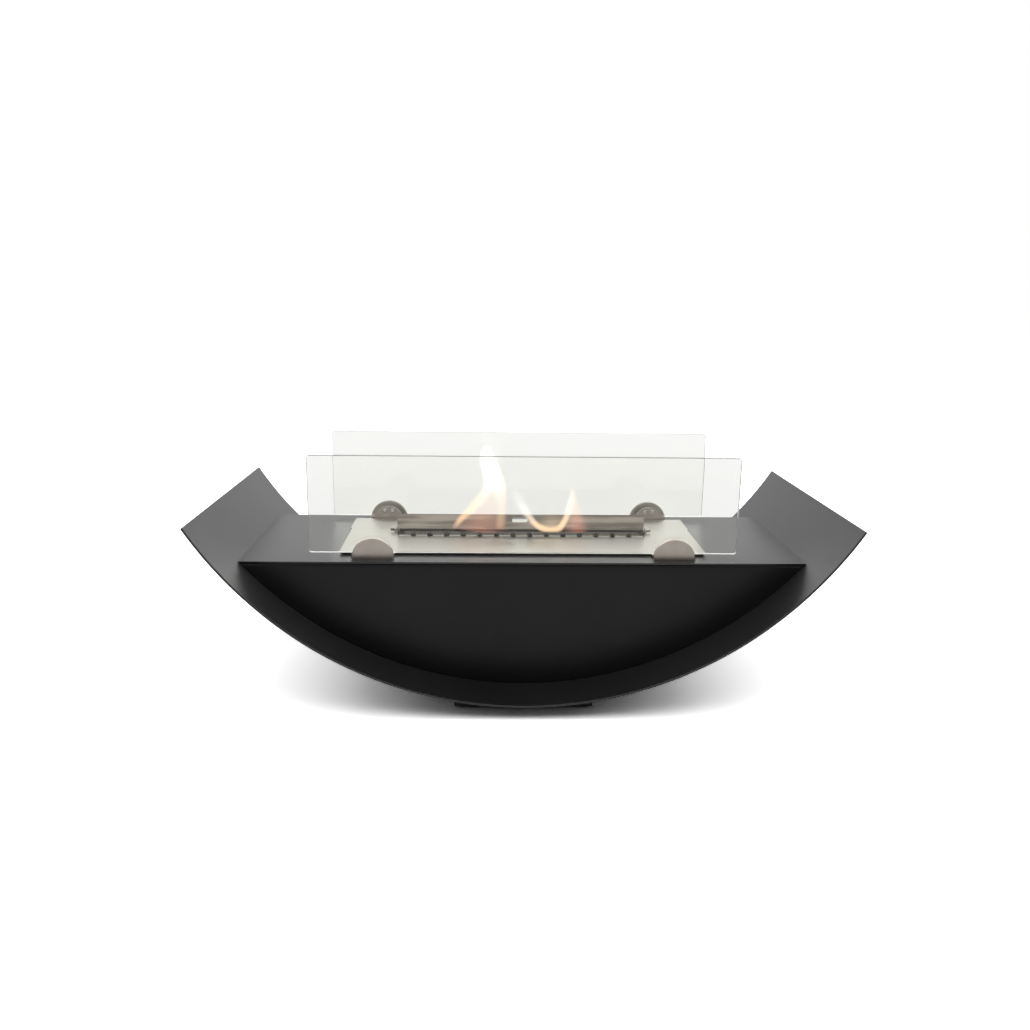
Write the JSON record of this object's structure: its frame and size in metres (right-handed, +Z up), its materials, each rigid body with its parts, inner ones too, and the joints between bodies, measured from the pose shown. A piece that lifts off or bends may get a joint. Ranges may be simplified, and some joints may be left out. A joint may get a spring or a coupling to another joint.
{
  "type": "bioethanol fireplace",
  "caption": "Tabletop bioethanol fireplace: a curved black steel cradle holding a boat-shaped hull, a drop-in slot burner with a hinged lid, and glass panes in half-round clamps.",
  "frame": {"origin": "on the surface it stands on, under the middle of the cradle", "axes": "+X along the long side to the viewer's right, -Y the front, +Z up"},
  "size_m": [0.72, 0.344, 0.2795],
  "materials": {
    "black_coat": "fine satin black powder coat",
    "rubber_foot": "matt black rubber",
    "brushed_stainless": "stainless steel brushed along its length",
    "dark_stainless": "heat-darkened brushed stainless steel",
    "satin_nickel": "satin nickel plate",
    "polished_screw": "bright zinc-plated steel",
    "ceramic_wool": "white ceramic fibre wool",
    "grey_silicone": "translucent grey silicone",
    "clear_glass": "clear tempered float glass with ground edges"
  },
  "bodies": {
    "hull": {"cradle": "black_coat", "foot_tray": "black_coat", "foot_pad_front_left": "rubber_foot", "foot_pad_front_right": "rubber_foot", "foot_pad_rear_left": "rubber_foot", "foot_pad_rear_right": "rubber_foot", "front_panel": "black_coat", "rear_panel": "black_coat", "top_plate": "black_coat", "glass_front": "clear_glass", "glass_rear": "clear_glass", "clamp_front_left": "satin_nickel", "clamp_liner_front_left": "grey_silicone", "set_screw_front_left_a": "polished_screw", "clamp_bolt_front_left_a": "polished_screw", "set_screw_front_left_b": "polished_screw", "clamp_bolt_front_left_b": "polished_screw", "clamp_front_right": "satin_nickel", "clamp_liner_front_right": "grey_silicone", "set_screw_front_right_a": "polished_screw", "clamp_bolt_front_right_a": "polished_screw", "set_screw_front_right_b": "polished_screw", "clamp_bolt_front_right_b": "polished_screw", "clamp_rear_left": "satin_nickel", "clamp_liner_rear_left": "grey_silicone", "set_screw_rear_left_a": "polished_screw", "clamp_bolt_rear_left_a": "polished_screw", "set_screw_rear_left_b": "polished_screw", "clamp_bolt_rear_left_b": "polished_screw", "clamp_rear_right": "satin_nickel", "clamp_liner_rear_right": "grey_silicone", "set_screw_rear_right_a": "polished_screw", "clamp_bolt_rear_right_a": "polished_screw", "set_screw_rear_right_b": "polished_screw", "clamp_bolt_rear_right_b": "polished_screw"},
    "burner": {"burner_tank": "brushed_stainless", "burner_flange": "brushed_stainless", "burner_rear_plate": "brushed_stainless", "air_strip": "brushed_stainless", "slot_rim": "brushed_stainless", "fuel_wool": "ceramic_wool", "wool_guard": "dark_stainless", "lid_ear_left": "brushed_stainless", "lid_ear_right": "brushed_stainless", "lid_pin_left": "dark_stainless", "lid_pin_right": "dark_stainless"},
    "lid": {"lid": "dark_stainless"}
  },
  "joints": [
    {"name": "burner_lift", "type": "slide", "parent": "hull", "child": "burner", "axis": [0, 0, 1], "range_m": [0, 0.09]},
    {"name": "lid_hinge", "type": "hinge", "parent": "burner", "child": "lid", "pos_m": [0, 0.0095, 0.1701], "axis": [1, 0, 0], "range_deg": [0, 102]}
  ]
}
